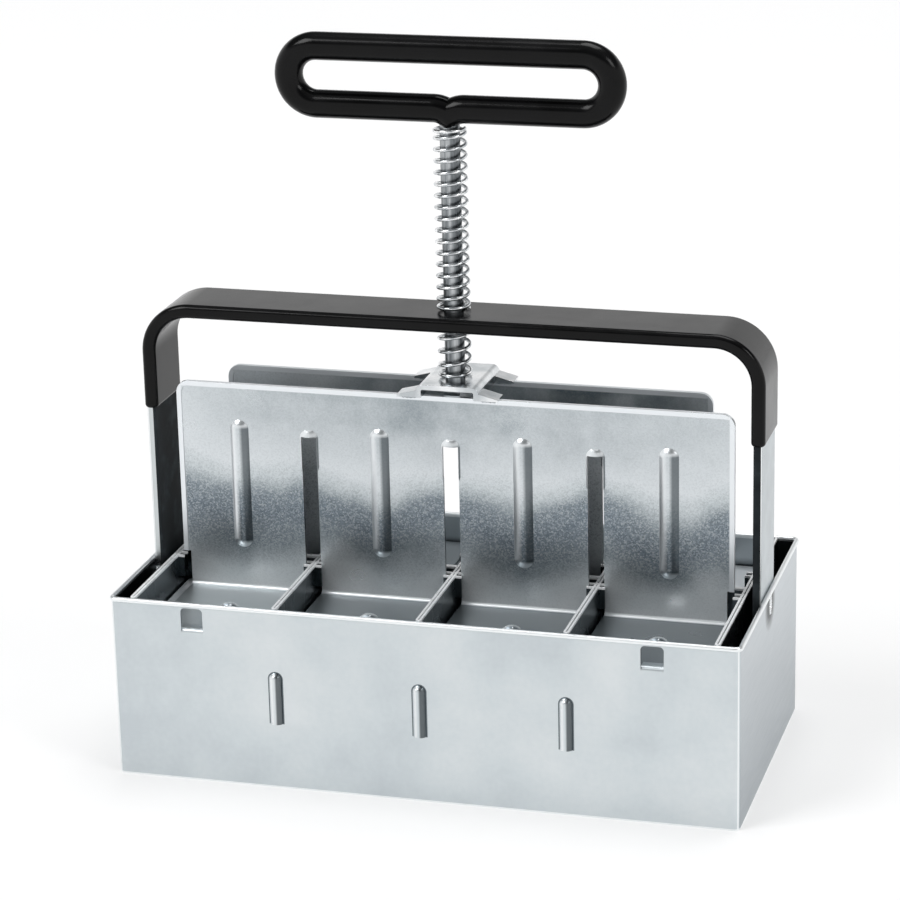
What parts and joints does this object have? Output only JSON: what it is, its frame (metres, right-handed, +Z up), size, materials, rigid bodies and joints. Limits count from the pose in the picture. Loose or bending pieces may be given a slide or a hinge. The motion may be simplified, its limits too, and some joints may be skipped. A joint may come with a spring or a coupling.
{
  "type": "soil blocker",
  "caption": "Hand soil blocker: folded sheet box of square cells, sprung plunger with slotted ejector webs, bow handle and looped grip.",
  "frame": {"origin": "centre of the box's open bottom, on the plane it stands on", "axes": "+Z up along the plunger rod, +X along the row of cells, -Y towards the front web"},
  "size_m": [0.2256, 0.1136, 0.2585],
  "materials": {
    "zinc_sheet": "satin zinc plate",
    "spangled_zinc": "mottled galvanised",
    "bright_zinc": "bright zinc plate",
    "spring_wire": "bright drawn wire",
    "core_steel": "plain rod",
    "black_dip": "glossy dipped vinyl"
  },
  "bodies": {
    "frame": {"box_shell": "zinc_sheet", "seam_weld": "bright_zinc", "divider_left": "zinc_sheet", "divider_middle": "zinc_sheet", "divider_right": "zinc_sheet", "end_liner_left": "zinc_sheet", "end_liner_right": "zinc_sheet", "centre_wall": "zinc_sheet", "bow_strap": "zinc_sheet", "bow_coating": "black_dip", "leg_welds": "bright_zinc", "return_spring": "spring_wire"},
    "plunger": {"ejector_front": "spangled_zinc", "ejector_rear": "spangled_zinc", "pusher_plates_front": "spangled_zinc", "pusher_plates_rear": "spangled_zinc", "seed_pins": "bright_zinc", "saddle_bracket": "bright_zinc", "bracket_welds": "bright_zinc", "rod_washer": "bright_zinc", "rod_nut": "bright_zinc", "plunger_rod": "bright_zinc", "buffer_spring": "spring_wire", "grip_core": "core_steel", "grip_coating": "black_dip"}
  },
  "joints": [
    {"name": "plunger_slide", "type": "slide", "parent": "frame", "child": "plunger", "axis": [0, 0, -1], "range_m": [0, 0.043], "stiffness_N_per_m": 400, "springref_m": -0.03, "deforming": ["return_spring"]}
  ]
}
